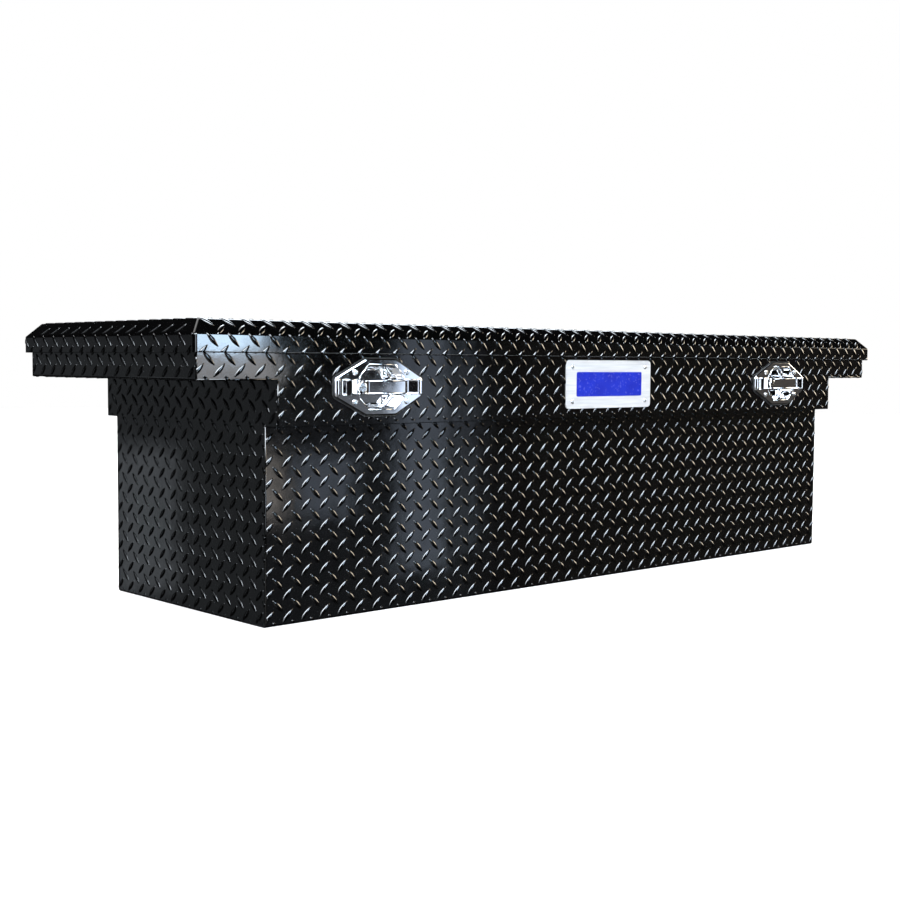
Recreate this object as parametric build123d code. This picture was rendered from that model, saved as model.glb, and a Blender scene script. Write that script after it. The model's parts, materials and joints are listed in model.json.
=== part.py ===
from build123d import *

import math
import os

# Low-profile crossover tool box for a pickup truck, folded from diamond tread aluminium sheet.
#
# Millimetres. The origin is the centre of the tub's base, +X runs along the box towards its right end as
# seen from the latch side, +Y runs from the latch side back to the hinge side, and +Z is up.

# --- Driving dimensions ---------------------------------------------------------------------------
SHEET = 1.6  # wall thickness of every folded panel
BEND = 3.0  # outside radius of a folded edge

LID_LENGTH, LID_DEPTH = 1770.0, 528.0
LIP_BOTTOM, LIP_TOP, LID_TOP = 411.0, 437.0, 459.0
BEVEL_RUN = 20.0  # how far the lid's sloped edge reaches inward

SADDLE_LENGTH, SADDLE_DEPTH = 1752.0, 508.0
TUB_LENGTH, TUB_DEPTH = 1476.0, 444.0
STEP_Z = 303.0  # where the tub widens to the saddle's depth
RAIL_Z = 372.0  # underside of the wings, which rest on the truck's bed rails
RIM_Z = 434.0  # top of the return flange, inside the lid
FLANGE = 22.0

PAN_LENGTH, PAN_DEPTH, PAN_Z = 1736.0, 494.0, 444.0
PAN_SHEET = 1.2

SEAL_WIDTH, SEAL_TOP = 12.0, 443.7
SEAL_LENGTH, SEAL_DEPTH = 1724.0, 480.0  # along the seal's centreline

HINGE_Y, HINGE_Z = 259.0, 406.3
HINGE_LENGTH, KNUCKLE_COUNT, KNUCKLE_GAP = 1700.0, 34, 0.4
KNUCKLE_R, PIN_R, RUNNING = 4.2, 1.6, 0.05
LEAF = 1.5

RAIL_HOLE_R, RAIL_HOLE_SPACING = 5.5, 330.0

STRUT_X = 712.0
STRUT_TUB_Y, STRUT_TUB_Z = 203.0, 229.0
STRUT_LID_Y, STRUT_LID_Z = 170.0, 424.0
CYLINDER_R, ROD_R = 9.0, 4.0
CYLINDER_LENGTH = 118.0

LATCH_X, LATCH_Z = 545.0, 360.5
BADGE_WIDTH, BADGE_HEIGHT, BADGE_THICK = 235.0, 87.0, 2.0

FRONT_Y = -SADDLE_DEPTH / 2
PARTS = {}


# --- Helpers --------------------------------------------------------------------------------------
def block(x, y, z):
    """A box from three (low, high) pairs."""
    size = [high - low for low, high in (x, y, z)]
    centre = [(high + low) / 2 for low, high in (x, y, z)]
    return Pos(*centre) * Box(*size)


def folded(points, plane, length):
    """A sheet folded along points, to the left of their line, and length wide about the plane."""
    path = FilletPolyline(*points, radius=BEND)
    outline = path.offset_2d(SHEET, side=Side.LEFT, closed=True)
    face = plane * Face(outline)
    return extrude(face, amount=length / 2, both=True)


def across(shape, y0, y1):
    """A flat shape drawn in X and Z, made solid from y0 to y1."""
    return extrude(Plane.XZ.offset(-y1) * shape, amount=y1 - y0)


def along_y(radius, x, z, y0, y1):
    return across(Pos(x, z) * Circle(radius), y0, y1)


def along_x(radius, y, z, x0, x1):
    return Pos((x0 + x1) / 2, y, z) * Rot(0, 90, 0) * Cylinder(radius, x1 - x0)


def eight_sided(width, height, flat_width, flat_height, corner, tail=0.0):
    """An eight-sided outline with its long axis along X, tail longer at its left end."""
    a, b = flat_width / 2, flat_height / 2
    w, h = width / 2, height / 2
    left = -w - tail
    points = [(a, h), (w, b), (w, -b), (a, -h), (-a, -h), (left, -b), (left, b), (-a, h)]
    outline = make_face(Polyline(*points, close=True))
    return fillet(outline.vertices(), corner)


def keep(name, shape):
    PARTS[name] = shape


# --- Tub ------------------------------------------------------------------------------------------
def tub_shell():
    """Front wall, floor and back wall in one sheet, with a step out under each upper panel."""
    half, step = TUB_DEPTH / 2, SADDLE_DEPTH / 2 - SHEET
    points = [(-step, STEP_Z), (-half, STEP_Z), (-half, 0), (half, 0), (half, STEP_Z), (step, STEP_Z)]
    return folded(points, Plane.YZ, TUB_LENGTH)


def upper_panel():
    """The front panel's sheet: a wall with wings at both ends and a return flange at its top."""
    points = [(FRONT_Y + FLANGE, RIM_Z), (FRONT_Y, RIM_Z), (FRONT_Y, STEP_Z)]
    panel = folded(points, Plane.YZ, SADDLE_LENGTH)
    for side in (-1, 1):
        ends = sorted((side * TUB_LENGTH / 2, side * SADDLE_LENGTH))
        panel -= block(ends, (FRONT_Y - 1, FRONT_Y + FLANGE + 1), (STEP_Z - 1, RAIL_Z))
    return panel


def end_panel(side):
    outside, inside = side * TUB_LENGTH / 2, side * (TUB_LENGTH / 2 - SHEET)
    low, wide = TUB_DEPTH / 2 - SHEET, SADDLE_DEPTH / 2 - SHEET
    x = sorted((outside, inside))
    lower = block(x, (-low, low), (SHEET, STEP_Z + SHEET))
    foot_cut = block(x, (-low, low), (SHEET, SHEET + BEND))
    upper = block(x, (-wide, wide), (STEP_Z + SHEET, RAIL_Z + SHEET))
    foot = block(x, (-low + BEND, low - BEND), (SHEET, SHEET + BEND))
    return lower - foot_cut + foot + upper


def saddle(side):
    """A wing's floor and end wall, with a return flange and two holes for the rail bolts."""
    half = SADDLE_LENGTH / 2
    inner = TUB_LENGTH / 2
    points = [(half - FLANGE, RIM_Z), (half, RIM_Z), (half, RAIL_Z), (inner, RAIL_Z)]
    points = [(-x, z) for x, z in points]
    plane = Plane.XZ
    wing = folded(points, plane, SADDLE_DEPTH - 2 * SHEET)
    edge = SADDLE_DEPTH / 2 - FLANGE
    for end in (-1, 1):
        y = sorted((end * edge, end * SADDLE_DEPTH))
        wing -= block((-half - 1, -half + FLANGE + 1), y, (RIM_Z - BEND, RIM_Z + 1))
    hole_x = -(TUB_LENGTH + SADDLE_LENGTH) / 4
    for end in (-1, 1):
        hole = Pos(hole_x, end * RAIL_HOLE_SPACING / 2, RAIL_Z) * Cylinder(RAIL_HOLE_R, 4 * BEND)
        wing -= hole
    return wing if side < 0 else wing.mirror(Plane.YZ)


def rim_seal():
    centre = RectangleRounded(SEAL_LENGTH + SEAL_WIDTH, SEAL_DEPTH + SEAL_WIDTH, 24)
    hole = RectangleRounded(SEAL_LENGTH - SEAL_WIDTH, SEAL_DEPTH - SEAL_WIDTH, 24 - SEAL_WIDTH)
    ring = extrude(centre - hole, amount=SEAL_TOP - RIM_Z)
    top = ring.faces().sort_by(Axis.Z)[-1]
    return Pos(0, 0, RIM_Z) * fillet(top.edges(), 4)


# --- Lid ------------------------------------------------------------------------------------------
def cap(inset, brow_drop, top_drop, top_inset, corner):
    """The solid shape of the lid, shrunk by the given amounts."""
    length, depth = LID_LENGTH - 2 * inset, LID_DEPTH - 2 * inset
    run = BEVEL_RUN + top_inset
    brow = LIP_TOP - brow_drop
    foot = Pos(0, 0, LIP_BOTTOM) * RectangleRounded(length, depth, corner)
    edge = Pos(0, 0, brow) * RectangleRounded(length, depth, corner)
    top = RectangleRounded(LID_LENGTH - 2 * run, LID_DEPTH - 2 * run, corner)
    slope = loft([edge, Pos(0, 0, LID_TOP - top_drop) * top])
    return extrude(foot, amount=brow - LIP_BOTTOM) + slope


def lid_skin():
    """A shallow cap with a sloped edge all round and a vertical lip, open underneath."""
    corner = 6.0
    turn = math.atan2(BEVEL_RUN, LID_TOP - LIP_TOP)
    brow_drop = SHEET * math.tan(turn / 2)
    top_inset = SHEET * math.tan((math.pi / 2 - turn) / 2)
    inside = cap(SHEET, brow_drop, SHEET, top_inset, corner - SHEET)
    return cap(0, 0, 0, 0, corner) - inside


def lid_pan():
    """The shallow tray inside the lid, which closes on the seal."""
    rise = 7.0
    tray = extrude(RectangleRounded(PAN_LENGTH, PAN_DEPTH, 6), amount=rise)
    room = RectangleRounded(PAN_LENGTH - 2 * PAN_SHEET, PAN_DEPTH - 2 * PAN_SHEET, 5)
    tray -= Pos(0, 0, PAN_SHEET) * extrude(room, amount=rise)
    return Pos(0, 0, PAN_Z) * tray


def lid_stiffeners():
    """Hat channels between the pan and the skin."""
    low, high = PAN_Z + PAN_SHEET, LID_TOP - SHEET
    depth, foot, crown = 440.0, 90.0, 50.0
    channels = []
    for x in (-600, -200, 200, 600):
        y = (-depth / 2, depth / 2)
        hat = block((x - crown / 2, x + crown / 2), y, (low, high))
        hat -= block((x - crown / 2 + PAN_SHEET, x + crown / 2 - PAN_SHEET), y, (low, high - PAN_SHEET))
        for side in (-1, 1):
            brim = sorted((x + side * crown / 2, x + side * foot / 2))
            hat += block(brim, y, (low, low + PAN_SHEET))
        channels.append(hat)
    return Compound(children=channels)


# --- Hinge ----------------------------------------------------------------------------------------
def hinge_leaf(first, wall_y, leaf_z, tab_z):
    """A leaf with every second knuckle: first is 0 or 1, and the leaf is a strip from wall_y on."""
    pitch = HINGE_LENGTH / KNUCKLE_COUNT
    strip = block((-HINGE_LENGTH / 2, HINGE_LENGTH / 2), (wall_y, wall_y + LEAF), leaf_z)
    knuckles = []
    for i in range(first, KNUCKLE_COUNT, 2):
        x0 = -HINGE_LENGTH / 2 + i * pitch + KNUCKLE_GAP / 2
        x1 = x0 + pitch - KNUCKLE_GAP
        knuckles.append(block((x0, x1), (wall_y, wall_y + LEAF), tab_z))
        knuckles.append(along_x(KNUCKLE_R, HINGE_Y, HINGE_Z, x0, x1))
    bore = along_x(PIN_R + RUNNING, HINGE_Y, HINGE_Z, -HINGE_LENGTH, HINGE_LENGTH)
    return strip.fuse(*knuckles) - bore


def hinge_rivets(y, z):
    """A row of domed rivet heads on the tub's leaf."""
    head_r, head_h = 4.0, 2.0
    rivet = along_y(head_r, 0, 0, y, y + head_h)
    crown = rivet.faces().sort_by(Axis.Y)[-1]
    rivet = fillet(crown.edges(), 1.5)
    count, span = 17, HINGE_LENGTH - 100
    return Compound(
        children=[Pos(-span / 2 + i * span / (count - 1), 0, z) * rivet for i in range(count)]
    )


# --- Gas struts -----------------------------------------------------------------------------------
STRUT_DY, STRUT_DZ = STRUT_LID_Y - STRUT_TUB_Y, STRUT_LID_Z - STRUT_TUB_Z
STRUT_LENGTH = math.hypot(STRUT_DY, STRUT_DZ)
STRUT_TILT = math.degrees(math.atan2(-STRUT_DY, STRUT_DZ))
SOCKET_R, SOCKET_HALF = 11.5, 7.0
STUD_R = 4.0
LID_CAVITY_R = 10.0  # the rod's cap is roomy, because the strut follows the lid at a constant ratio


def in_strut(shape):
    """Places a strut piece, drawn up the Z axis from its lower pivot, at the left end of the box."""
    return Pos(-STRUT_X, STRUT_TUB_Y, STRUT_TUB_Z) * Rot(STRUT_TILT, 0, 0) * shape


def strut_cylinder():
    socket_r = 9.0
    tube = Pos(0, 0, socket_r - 1) * Cylinder(
        CYLINDER_R, CYLINDER_LENGTH, align=(Align.CENTER, Align.CENTER, Align.MIN)
    )
    tube = fillet(tube.edges().filter_by(GeomType.CIRCLE), 1.5)
    bore = Pos(0, 0, socket_r + 6) * Cylinder(
        ROD_R + 0.08, CYLINDER_LENGTH, align=(Align.CENTER, Align.CENTER, Align.MIN)
    )
    socket = along_x(socket_r, 0, 0, -SOCKET_HALF, SOCKET_HALF)
    cup = along_x(STUD_R + RUNNING, 0, 0, -SOCKET_HALF - 1, SOCKET_HALF - 3)
    return in_strut(tube + socket - bore - cup)


def strut_rod():
    start = 24.0
    rod = Pos(0, 0, start) * Cylinder(
        ROD_R, STRUT_LENGTH - start - LID_CAVITY_R - 1, align=(Align.CENTER, Align.CENTER, Align.MIN)
    )
    cap = Pos(0, 0, STRUT_LENGTH) * along_x(SOCKET_R, 0, 0, -SOCKET_HALF, SOCKET_HALF)
    cap = fillet(cap.edges().filter_by(GeomType.CIRCLE), 1.2)
    room = Pos(0, 0, STRUT_LENGTH) * along_x(LID_CAVITY_R, 0, 0, -SOCKET_HALF - 1, SOCKET_HALF - 2)
    return in_strut(rod + cap - room)


def strut_tub_stud():
    """A plate on the end wall with a round stud in the strut's lower socket."""
    wall = -TUB_LENGTH / 2 + SHEET
    z = (STRUT_TUB_Z - 26, STRUT_TUB_Z + 26)
    plate = block((wall, wall + 3), (STRUT_TUB_Y - 15, STRUT_TUB_Y + 15), z)
    plate = fillet(plate.edges().filter_by(Axis.X), 6)
    tip = -STRUT_X + SOCKET_HALF - 3.5
    stud = along_x(STUD_R, STRUT_TUB_Y, STRUT_TUB_Z, wall, tip)
    collar = along_x(6.5, STRUT_TUB_Y, STRUT_TUB_Z, wall, -STRUT_X - SOCKET_HALF - 1.5)
    return plate + stud + collar


def strut_lid_stud():
    """An angle bracket under the lid's pan with a round stud in the rod's cap."""
    x = -STRUT_X - SOCKET_HALF - 4
    y = (STRUT_LID_Y - 26, STRUT_LID_Y + 26)
    foot = block((x - 24, x), y, (PAN_Z - 2, PAN_Z))
    ear = block((x - 2, x), (STRUT_LID_Y - 14, STRUT_LID_Y + 14), (STRUT_LID_Z - 9, PAN_Z))
    ear = fillet(ear.edges().filter_by(Axis.X).sort_by(Axis.Z)[:2], 8)
    stud = along_x(STUD_R, STRUT_LID_Y, STRUT_LID_Z, x - 1, -STRUT_X + SOCKET_HALF - 5)
    return foot + ear + stud


def bracket_screws():
    """Round-headed screws that hold the strut's lower plate to the end wall."""
    wall = -TUB_LENGTH / 2 + SHEET
    screws = []
    for dz in (-18, 18):
        head = along_x(4.5, STRUT_TUB_Y, STRUT_TUB_Z + dz, wall + 3, wall + 5.5)
        crown = head.faces().sort_by(Axis.X)[-1]
        screws.append(fillet(crown.edges(), 2))
    return screws


# --- Latches --------------------------------------------------------------------------------------
# Drawn about the centre of the bezel, with the panel's outer face at y = 0 and the inside at +y.
BEZEL_WIDTH, BEZEL_HEIGHT, BEZEL_TAIL = 172.0, 87.0, 5.0
GASKET, PLATE = 1.5, 3.0
WALL = 2.0
POCKET_X, POCKET_WIDTH, POCKET_HEIGHT, POCKET_DEPTH = 2.0, 84.0, 64.0, 22.0
CHANNEL_LOW, CHANNEL_HIGH, CHANNEL_HALF, CHANNEL_DEPTH = -78.0, 76.0, 11.5, 7.0
PIVOT_X, PIVOT_Y, PIVOT_R = -66.0, 1.0, 2.5
LOCK_X, LOCK_R = -48.0, 7.5
BACKPLATE = 2.0
STUD_X, STUD_Z, CATCH_STUD_R = -58.0, 36.0, 3.0
CATCH_Y, CATCH_THICK = 35.0, 4.0
STRIKER_X, STRIKER_Z, STRIKER_R = -51.0, 56.4, 3.0
SCREW_X, SCREW_Z = 52.0, 23.0


def pocket_outline(grow):
    outline = eight_sided(POCKET_WIDTH + 2 * grow, POCKET_HEIGHT + 2 * grow, 52, 30, 8)
    return Pos(POCKET_X, 0) * outline


def channel_outline(grow):
    width = CHANNEL_HIGH - CHANNEL_LOW + 2 * grow
    centre = (CHANNEL_HIGH + CHANNEL_LOW) / 2
    return Pos(centre, 0) * RectangleRounded(width, 2 * (CHANNEL_HALF + grow), 3)


def body_hole(y0, y1):
    """The room that the bezel's body needs in the panel, gasket and backplate."""
    room = WALL + 0.7
    return across(pocket_outline(room), y0, y1) + across(channel_outline(room), y0, y1)


def at_screws(maker):
    return [Pos(sx * SCREW_X, 0, sz * SCREW_Z) * maker() for sx in (-1, 1) for sz in (-1, 1)]


def bezel():
    face_y = -GASKET - PLATE
    outline = eight_sided(BEZEL_WIDTH, BEZEL_HEIGHT, 60, 28, 10, BEZEL_TAIL)
    flange = across(outline, face_y, -GASKET)
    rim = flange.faces().sort_by(Axis.Y)[0]
    flange = fillet(rim.edges(), 2)
    for x, width in ((-84, 6), (80.5, 5)):
        lug = across(Pos(x, 0) * RectangleRounded(width, 26, 2.4), face_y - 3, face_y + 1)
        crown = lug.faces().sort_by(Axis.Y)[0]
        flange += fillet(crown.edges(), 1.8)
    body = flange + across(pocket_outline(WALL), -GASKET, POCKET_DEPTH + WALL)
    body += across(channel_outline(WALL), -GASKET, CHANNEL_DEPTH + WALL)
    bowl = across(pocket_outline(0), face_y - 1, POCKET_DEPTH)
    body -= fillet(bowl.faces().sort_by(Axis.Y)[-1].edges(), 7)
    body -= across(pocket_outline(3), face_y - 1, face_y + 1.2)
    body -= across(channel_outline(0), face_y - 1, CHANNEL_DEPTH)
    body -= block((PIVOT_X - 5, PIVOT_X + 9), (CHANNEL_DEPTH - 1, CHANNEL_DEPTH + 3), (-10.5, 0.5))
    body -= Pos(PIVOT_X, PIVOT_Y, 0) * Cylinder(PIVOT_R + RUNNING, 60)
    for hole in at_screws(lambda: along_y(2.2, 0, 0, face_y - 1, 0)):
        body -= hole
    return body


def gasket():
    outline = eight_sided(BEZEL_WIDTH + 5, BEZEL_HEIGHT + 5, 62, 30, 9, BEZEL_TAIL)
    ring = across(outline, -GASKET, 0) - body_hole(-GASKET - 1, 1)
    for hole in at_screws(lambda: along_y(2.2, 0, 0, -GASKET - 1, 1)):
        ring -= hole
    return ring


def paddle():
    """The pull bar: arched in plan, with a hub on the pivot, a bore for the lock and a tail inside."""
    face, back, tip = -12.5, -8.5, 52.0
    crown = [(-71, -3), (-64, -12), (-55, -16.5), (-41, -16.5), (-30, face)]
    boss = Spline(*crown, tangents=[(0.3, -1), (1, 0)])
    top = Line((-30, face), (42, face))
    curl = Spline((42, face), (49, -10), (tip, -3.5), tangents=[(1, 0), (0, 1)])
    lip = Line((tip, -3.5), (tip - 2.5, -3.5))
    grip = Spline((tip - 2.5, -3.5), (47, -7), (40, back), tangents=[(0, -1), (-1, 0)])
    rear = Polyline((40, back), (-34, back), (-54, -4.5), (-60.5, 1), (-71.5, 1), (-71, -3))
    sides = (boss, top, curl, lip, grip, rear)
    outline = make_face([edge for side in sides for edge in side.edges()])
    bar = extrude(outline, amount=10, both=True)
    hub = Pos(PIVOT_X, PIVOT_Y, 0) * Cylinder(5.5, 20)
    tail = block((PIVOT_X - 2, PIVOT_X + 2), (PIVOT_Y, PIVOT_Y + 42), (-9, -1))
    whole = bar + hub + tail
    whole -= Pos(PIVOT_X, PIVOT_Y, 0) * Cylinder(PIVOT_R + RUNNING, 40)
    whole -= along_y(LOCK_R + RUNNING, LOCK_X, 0, -30, 5)
    return whole


def lock_plug():
    """The key lock's plug, with its keyway and the cam at its back."""
    plug = along_y(LOCK_R, LOCK_X, 0, -18.5, -2)
    face = plug.faces().sort_by(Axis.Y)[0]
    plug = fillet(face.edges(), 0.8)
    keyway = block((LOCK_X - 0.8, LOCK_X + 0.8), (-19, -14), (-3.6, 3.6))
    cam = block((LOCK_X - 4, LOCK_X + 9), (-2, 0), (-4, 4))
    return plug - keyway + cam


def pivot_pin():
    return Pos(PIVOT_X, PIVOT_Y, 0) * Cylinder(PIVOT_R, 2 * (CHANNEL_HALF + WALL))


def backplate():
    y0, y1 = SHEET, SHEET + BACKPLATE
    plate = across(Pos(-3, 2) * RectangleRounded(178, 88, 8), y0, y1) - body_hole(y0 - 1, y1 + 1)
    for hole in at_screws(lambda: along_y(2.2, 0, 0, y0 - 1, y1 + 1)):
        plate -= hole
    return plate


def catch_stud():
    """The shouldered stud that the catch turns on, with its retaining head."""
    y0 = SHEET + BACKPLATE
    near, far = CATCH_Y - CATCH_THICK / 2 - 0.3, CATCH_Y + CATCH_THICK / 2 + 0.3
    shoulder = along_y(5, STUD_X, STUD_Z, y0, near)
    return shoulder + along_y(CATCH_STUD_R, STUD_X, STUD_Z, near, far) + along_y(
        5, STUD_X, STUD_Z, far, far + 2
    )


def catch_spring():
    """The torsion spring round the stud's shoulder."""
    helix = Helix(pitch=2.6, height=20.8, radius=6.2)
    wire = Plane(origin=helix @ 0, z_dir=helix % 0) * Circle(0.8)
    coil = sweep(wire, path=helix)
    return Pos(STUD_X, 8, STUD_Z) * Rot(-90, 0, 0) * coil


def catch():
    """The lever between paddle and striker: its nose hooks over the striker's bar."""
    half = CATCH_THICK / 2
    lower, upper = STUD_Z - 46, STRIKER_Z + STRIKER_R + 0.6
    points = [
        (STUD_X - 5, lower),
        (STUD_X + 5, lower),
        (STUD_X + 5, STUD_Z),
        (STRIKER_X - STRIKER_R - 2, STUD_Z + 8),
        (STRIKER_X - STRIKER_R - 2, upper),
        (STRIKER_X + 4, upper),
        (STRIKER_X + 2, upper + 3),
        (STUD_X - 1, upper + 7),
        (STUD_X - 5, upper + 4),
    ]
    plate = make_face(Polyline(*points, close=True)) + Pos(STUD_X, STUD_Z) * Circle(8)
    lever = across(plate, CATCH_Y - half, CATCH_Y + half)
    return lever - along_y(CATCH_STUD_R + RUNNING, STUD_X, STUD_Z, 0, 60)


def striker():
    """The U-shaped bar that hangs from the lid's pan over the catch."""
    ceiling = PAN_Z - LATCH_Z
    near, far = CATCH_Y - 9, CATCH_Y + 9
    plate = block((STRIKER_X - 14, STRIKER_X + 14), (near - 5, far + 10), (ceiling - 2, ceiling))
    plate = fillet(plate.edges().filter_by(Axis.Z), 4)
    bend = 5.0
    corners = [(near, ceiling - 1), (near, STRIKER_Z), (far, STRIKER_Z), (far, ceiling - 1)]
    path = FilletPolyline(*corners, radius=bend)
    path = Pos(STRIKER_X, 0, 0) * (Plane.YZ * path)
    section = Plane(origin=path @ 0, z_dir=path % 0) * Circle(STRIKER_R)
    return plate + sweep(section, path=path)


def latch_screw():
    face_y = -GASKET - PLATE
    head = along_y(4.5, 0, 0, face_y - 2.2, face_y)
    crown = head.faces().sort_by(Axis.Y)[0]
    head = fillet(crown.edges(), 1.6)
    return head + along_y(2.1, 0, 0, face_y, SHEET + BACKPLATE + 5)


def latch_nut():
    y0 = SHEET + BACKPLATE
    nut = across(RegularPolygon(4.6, 6), y0, y0 + 3)
    return nut - along_y(2.15, 0, 0, y0 - 1, y0 + 4)


# --- Badge ----------------------------------------------------------------------------------------
def badge_plate():
    plate = across(RectangleRounded(BADGE_WIDTH, BADGE_HEIGHT, 8), -BADGE_THICK, 0)
    edge = plate.faces().sort_by(Axis.Y)[0]
    return Pos(0, FRONT_Y, LATCH_Z + 1.5) * fillet(edge.edges(), 0.8)


def badge_inlay():
    """The plain coloured panel bonded to the plate."""
    panel = across(RectangleRounded(180, 44, 3), -BADGE_THICK - 0.8, -BADGE_THICK)
    return Pos(0, FRONT_Y, LATCH_Z + 1.5) * panel


def badge_rivets():
    head = along_y(4, 0, 0, -BADGE_THICK - 1.8, -BADGE_THICK)
    crown = head.faces().sort_by(Axis.Y)[0]
    head = fillet(crown.edges(), 1.5)
    return Compound(
        children=[
            Pos(sx * 101, FRONT_Y, LATCH_Z + 1.5 + sz * 31) * head for sx in (-1, 1) for sz in (-1, 1)
        ]
    )


# --- Assembly -------------------------------------------------------------------------------------
def build_tub():
    keep("tub_shell", tub_shell())
    front = upper_panel()
    keep("rear_panel", front.mirror(Plane.XZ))
    for centre in (-LATCH_X, LATCH_X):
        front -= Pos(centre, FRONT_Y, LATCH_Z) * body_hole(-2, SHEET + 1)
        for hole in at_screws(lambda: along_y(2.2, 0, 0, -1, SHEET + 1)):
            front -= Pos(centre, FRONT_Y, LATCH_Z) * hole
    keep("front_panel", front)
    for name, side in (("left", -1), ("right", 1)):
        keep(f"{name}_end_panel", end_panel(side))
        keep(f"{name}_saddle", saddle(side))
    keep("rim_seal", rim_seal())
    keep("badge_plate", badge_plate())
    keep("badge_inlay", badge_inlay())
    keep("badge_rivets", badge_rivets())


def build_lid():
    keep("lid_skin", lid_skin())
    keep("lid_pan", lid_pan())
    keep("lid_stiffeners", lid_stiffeners())


def build_hinge():
    back = SADDLE_DEPTH / 2
    lip_inside = LID_DEPTH / 2 - SHEET
    keep("hinge_tub_leaf", hinge_leaf(0, back, (377, 401.5), (401.5, HINGE_Z)))
    keep("hinge_lid_leaf", hinge_leaf(1, lip_inside - LEAF, (411.2, 432), (HINGE_Z, 411.2)))
    keep("hinge_pin", along_x(PIN_R, HINGE_Y, HINGE_Z, -HINGE_LENGTH / 2, HINGE_LENGTH / 2))
    keep("hinge_tub_rivets", hinge_rivets(back + LEAF, 386))


def build_struts():
    screws = []
    pieces = {
        "tub_stud": strut_tub_stud(),
        "lid_stud": strut_lid_stud(),
        "cylinder": strut_cylinder(),
        "rod": strut_rod(),
    }
    for name, piece in pieces.items():
        keep(f"left_strut_{name}", piece)
        keep(f"right_strut_{name}", piece.mirror(Plane.YZ))
    for screw in bracket_screws():
        screws += [screw, screw.mirror(Plane.YZ)]
    keep("strut_screws", Compound(children=screws))


def build_latches():
    pieces = {
        "gasket": gasket(),
        "bezel": bezel(),
        "paddle": paddle(),
        "pivot_pin": pivot_pin(),
        "lock_plug": lock_plug(),
        "backplate": backplate(),
        "catch": catch(),
        "catch_stud": catch_stud(),
        "catch_spring": catch_spring(),
        "striker": striker(),
        "screws": Compound(children=at_screws(latch_screw)),
        "nuts": Compound(children=at_screws(latch_nut)),
    }
    for name, piece in pieces.items():
        for side, centre in (("left", -LATCH_X), ("right", LATCH_X)):
            keep(f"{side}_latch_{name}", Pos(centre, FRONT_Y, LATCH_Z) * piece)


def main():
    build_tub()
    build_lid()
    build_hinge()
    build_struts()
    build_latches()
    os.makedirs("parts", exist_ok=True)
    for name, shape in PARTS.items():
        export_step(shape, f"parts/{name}.step")
    print(f"strut: length {STRUT_LENGTH:.2f}, tilt {STRUT_TILT:.2f} degrees")
    print(f"{len(PARTS)} nodes")


main()
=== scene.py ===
import json
import math

import bmesh
import bpy
from mathutils import Matrix, Vector


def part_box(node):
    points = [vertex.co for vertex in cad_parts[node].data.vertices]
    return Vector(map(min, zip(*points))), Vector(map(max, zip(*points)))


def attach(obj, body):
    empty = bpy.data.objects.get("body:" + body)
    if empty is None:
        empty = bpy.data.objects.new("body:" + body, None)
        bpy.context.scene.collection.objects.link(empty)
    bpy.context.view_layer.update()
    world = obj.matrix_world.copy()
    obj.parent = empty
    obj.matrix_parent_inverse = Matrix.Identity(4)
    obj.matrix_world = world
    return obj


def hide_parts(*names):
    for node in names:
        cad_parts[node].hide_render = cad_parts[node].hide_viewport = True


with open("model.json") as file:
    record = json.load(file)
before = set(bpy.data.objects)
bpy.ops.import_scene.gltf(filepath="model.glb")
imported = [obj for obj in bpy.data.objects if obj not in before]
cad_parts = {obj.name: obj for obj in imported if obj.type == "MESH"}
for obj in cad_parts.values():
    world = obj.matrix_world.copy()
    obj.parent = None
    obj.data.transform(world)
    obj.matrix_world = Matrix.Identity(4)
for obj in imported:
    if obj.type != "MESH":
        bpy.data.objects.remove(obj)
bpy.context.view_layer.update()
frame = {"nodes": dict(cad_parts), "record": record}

MM = 0.001

# --- Camera, matched to the viewing angle ---------------------------------------------------------
CAMERA_PLACE = Vector((-1.88096, -1.87101, 0.39869))
CAMERA_YAW, CAMERA_PITCH, CAMERA_ROLL = (math.radians(a) for a in (42.589, -3.715, 0.396))
CAMERA_LENS, CAMERA_SENSOR = 53.65, 36.0


def make_camera():
    """Aims the camera: yaw from +Y towards +X, then pitch, then roll."""
    yaw, pitch, roll = CAMERA_YAW, CAMERA_PITCH, CAMERA_ROLL
    ahead = Vector(
        (math.sin(yaw) * math.cos(pitch), math.cos(yaw) * math.cos(pitch), math.sin(pitch))
    )
    level = Vector((math.cos(yaw), -math.sin(yaw), 0))
    lift = level.cross(ahead)
    right = math.cos(roll) * level + math.sin(roll) * lift
    up = -math.sin(roll) * level + math.cos(roll) * lift
    data = bpy.data.cameras.new("camera")
    data.lens, data.sensor_width = CAMERA_LENS, CAMERA_SENSOR
    camera = bpy.data.objects.new("camera", data)
    bpy.context.collection.objects.link(camera)
    turn = Matrix((right, up, -ahead)).transposed().to_4x4()
    camera.matrix_world = Matrix.Translation(CAMERA_PLACE) @ turn
    bpy.context.scene.camera = camera


# --- Materials ------------------------------------------------------------------------------------
def principled(name, colour, **sockets):
    """A new Principled material, with its constant values on the shader's own sockets."""
    material = bpy.data.materials.new(name)
    material.use_nodes = True
    shader = material.node_tree.nodes["Principled BSDF"]
    shader.inputs["Base Color"].default_value = (*colour, 1)
    for socket, value in sockets.items():
        shader.inputs[socket.replace("_", " ")].default_value = value
    return material, shader


def noise(material, scale, detail=3.0, stretch=(1, 1, 1), roughness=0.5):
    """A noise texture on the object's own coordinates, in metres."""
    nodes, links = material.node_tree.nodes, material.node_tree.links
    coords = nodes.new("ShaderNodeTexCoord")
    mapping = nodes.new("ShaderNodeMapping")
    mapping.inputs["Scale"].default_value = stretch
    texture = nodes.new("ShaderNodeTexNoise")
    texture.inputs["Scale"].default_value = scale
    texture.inputs["Detail"].default_value = detail
    texture.inputs["Roughness"].default_value = roughness
    links.new(coords.outputs["Object"], mapping.inputs["Vector"])
    links.new(mapping.outputs["Vector"], texture.inputs["Vector"])
    return texture.outputs["Fac"]


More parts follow.
